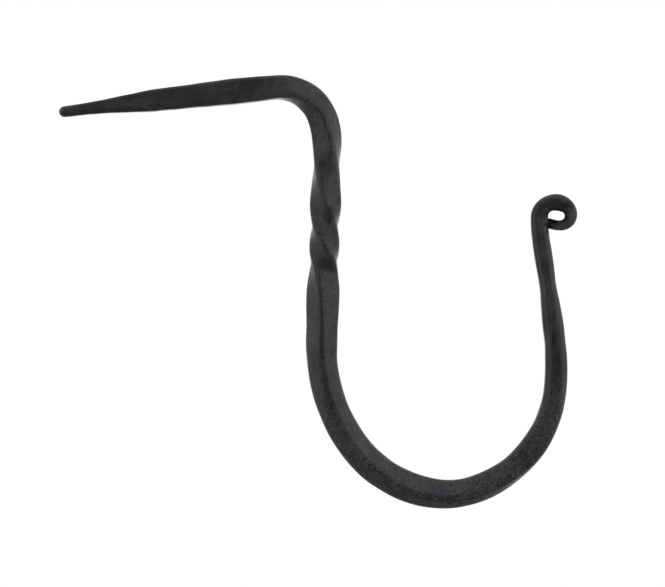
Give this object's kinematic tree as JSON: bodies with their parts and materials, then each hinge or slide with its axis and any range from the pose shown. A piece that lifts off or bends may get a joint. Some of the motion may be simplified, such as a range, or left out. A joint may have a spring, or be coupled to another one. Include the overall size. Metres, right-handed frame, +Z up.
{
  "type": "cup hook",
  "caption": "Hand-forged drive-in cup hook: a tapered spike for the wall, a twisted shank, a deep round bowl and a small scrolled end.",
  "frame": {"origin": "on the spike's axis at its root, where the spike stops and the bend starts: the point that ends up at the wall's face", "axes": "+X away from the wall, +Y to the back of the hook, +Z up; the spike runs along -X"},
  "size_m": [0.0965, 0.0062, 0.0806],
  "materials": {
    "black_iron": "satin black wax over forge scale"
  },
  "bodies": {
    "root": {"hook": "black_iron"}
  },
  "joints": []
}
